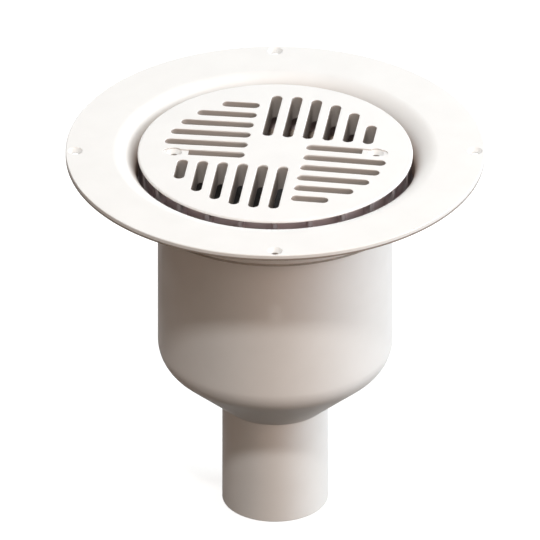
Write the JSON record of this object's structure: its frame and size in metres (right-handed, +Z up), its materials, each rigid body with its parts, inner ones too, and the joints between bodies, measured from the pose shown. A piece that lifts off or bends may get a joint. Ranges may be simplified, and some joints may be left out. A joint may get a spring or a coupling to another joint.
{
  "type": "floor drain",
  "caption": "Round floor drain with a wide floor flange, slotted grate, clamping ring, lift-out water trap and a straight bottom outlet.",
  "frame": {"origin": "centre of the flange's underside, where it lies on the floor deck, on the drain's axis; floor level, the flange's top face, is at Z = 3.2 mm", "axes": "+Z up along the drain's axis, -Y towards the front, +X to the right; the spigot points along -Z"},
  "size_m": [0.2969, 0.297, 0.282],
  "materials": {
    "body_plastic": "smooth satin white moulding",
    "grate_plastic": "smooth satin white moulding",
    "ring_plastic": "smooth satin moulding, grey with a faint violet tint",
    "trap_plastic": "fine matt dark grey moulding",
    "seal_rubber": "matt black rubber",
    "insert_brass": "turned"
  },
  "bodies": {
    "root": {"drain_body": "body_plastic", "clamp_ring": "ring_plastic", "screw_inserts": "insert_brass", "grate": "grate_plastic", "trap_funnel": "trap_plastic", "trap_cup": "trap_plastic", "trap_seal": "seal_rubber"}
  },
  "joints": []
}
